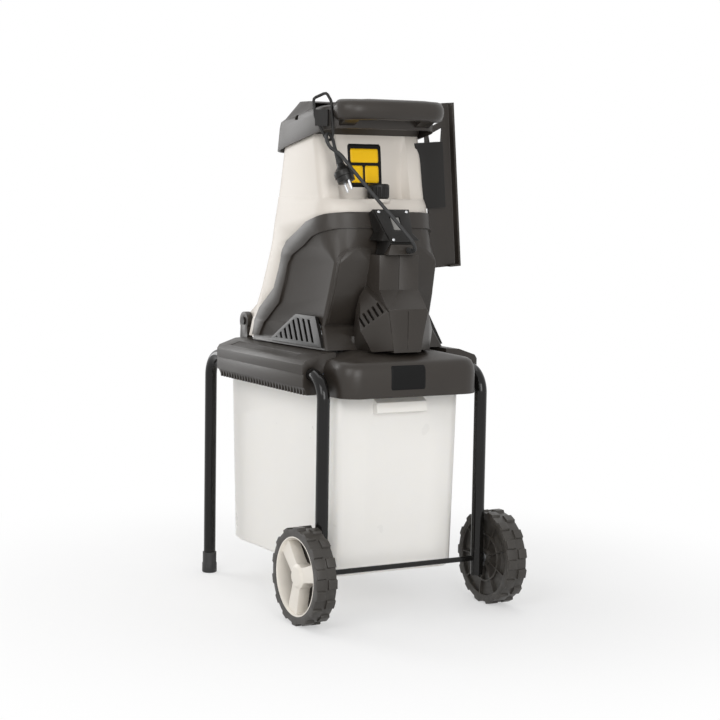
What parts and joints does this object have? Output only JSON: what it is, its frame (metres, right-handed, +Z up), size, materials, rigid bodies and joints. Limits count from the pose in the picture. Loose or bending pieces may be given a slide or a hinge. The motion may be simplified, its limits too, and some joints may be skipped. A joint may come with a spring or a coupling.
{
  "type": "garden shredder",
  "caption": "Electric garden shredder: a tilting feed hopper over a belt-driven knife disc, on a tubular wheeled stand with a slide-out collecting box.",
  "frame": {"origin": "centre of the footprint on the ground, under wheels and feet", "axes": "+X to the right seen from the wheel end, +Y from the wheel end towards the front feet, +Z up"},
  "size_m": [0.4492, 0.585, 0.9681],
  "materials": {
    "tube_paint": "gloss black paint",
    "foot_rubber": "matte rubber",
    "tyre": "satin moulded plastic",
    "hub_plastic": "satin light grey",
    "dark_plastic": "fine grained satin",
    "black_plastic": "satin black",
    "hopper_plastic": "fine grained satin",
    "box_plastic": "translucent white",
    "zinc_steel": "zinc plated",
    "bright_steel": "ground",
    "motor_iron": "laminated core",
    "copper": "wound copper",
    "cast_alloy": "die cast",
    "belt_rubber": "toothed belt"
  },
  "bodies": {
    "chassis": {"left_leg_frame": "tube_paint", "right_leg_frame": "tube_paint", "left_foot": "foot_rubber", "right_foot": "foot_rubber", "axle": "tube_paint", "axle_washers": "zinc_steel", "axle_caps": "zinc_steel", "base": "dark_plastic", "left_rail": "dark_plastic", "right_rail": "dark_plastic", "frame_screws": "zinc_steel", "motor_cover": "dark_plastic", "left_vent_grille": "dark_plastic", "right_vent_grille": "dark_plastic", "cover_screws": "zinc_steel", "motor_mount": "cast_alloy", "motor_field": "motor_iron", "motor_brushes": "copper", "motor_bearings": "bright_steel", "drive_belt": "belt_rubber", "bearing_bridge": "cast_alloy", "spindle_bearings": "bright_steel", "belt_cover": "dark_plastic", "switch_box": "black_plastic", "switch_plate": "black_plastic", "switch_screws": "zinc_steel", "cord_clamp": "black_plastic", "cord_gland": "foot_rubber", "hinge_pins": "zinc_steel", "power_cord": "foot_rubber"},
    "left_wheel": {"left_wheel": "tyre", "left_hub_cover": "hub_plastic"},
    "right_wheel": {"right_wheel": "tyre", "right_hub_cover": "hub_plastic"},
    "collecting_box": {"collecting_box": "box_plastic"},
    "motor_rotor": {"motor_armature": "motor_iron", "motor_fan": "black_plastic", "motor_pulley": "cast_alloy"},
    "cutter": {"cutter_pulley": "cast_alloy", "cutter_spindle": "bright_steel", "knife_disc": "bright_steel", "knives": "bright_steel", "knife_screws": "zinc_steel", "disc_nut": "zinc_steel"},
    "rocker": {"rocker_switch": "black_plastic"},
    "hopper": {"hopper": "hopper_plastic", "feed_chute": "dark_plastic", "hopper_rim": "dark_plastic", "chip_guard": "dark_plastic", "rear_handle": "dark_plastic", "plunger_holder": "dark_plastic", "cord_hook": "black_plastic", "plug_relief": "foot_rubber", "plug": "black_plastic", "plug_pins": "zinc_steel"},
    "lock_knob": {"lock_knob": "black_plastic", "lock_screw": "zinc_steel"},
    "plunger": {"plunger": "dark_plastic"}
  },
  "joints": [
    {"name": "left_wheel_spin", "type": "hinge", "parent": "chassis", "child": "left_wheel", "pos_m": [-0.2046, -0.2025, 0.09], "axis": [1, 0, 0], "continuous": true},
    {"name": "right_wheel_spin", "type": "hinge", "parent": "chassis", "child": "right_wheel", "pos_m": [0.2046, -0.2025, 0.09], "axis": [1, 0, 0], "continuous": true},
    {"name": "box_slide", "type": "slide", "parent": "chassis", "child": "collecting_box", "axis": [0, 1, 0], "range_m": [0, 0.48]},
    {"name": "cutter_spin", "type": "hinge", "parent": "chassis", "child": "cutter", "pos_m": [0, 0.0675, 0.515], "axis": [0, 0, 1], "continuous": true},
    {"name": "motor_spin", "type": "hinge", "parent": "chassis", "child": "motor_rotor", "pos_m": [0, -0.0585, 0.6], "axis": [0, 0, 1], "continuous": true},
    {"name": "rocker_tilt", "type": "hinge", "parent": "chassis", "child": "rocker", "pos_m": [0, -0.1579, 0.7239], "axis": [1, 0, 0], "range_deg": [-10, 10]},
    {"name": "hopper_tilt", "type": "hinge", "parent": "chassis", "child": "hopper", "pos_m": [0, 0.2105, 0.522], "axis": [-1, 0, 0], "range_deg": [0, 60], "deforming": ["power_cord"]},
    {"name": "lock_knob_turn", "type": "hinge", "parent": "hopper", "child": "lock_knob", "pos_m": [0, -0.0945, 0.78], "axis": [0, 0, 1], "continuous": true},
    {"name": "plunger_lift", "type": "slide", "parent": "hopper", "child": "plunger", "axis": [-0.0767, 0, 0.9971], "range_m": [0, 0.36]}
  ],
  "couplings": [
    {"joint": "motor_spin", "follows": "cutter_spin", "ratio": 3}
  ]
}
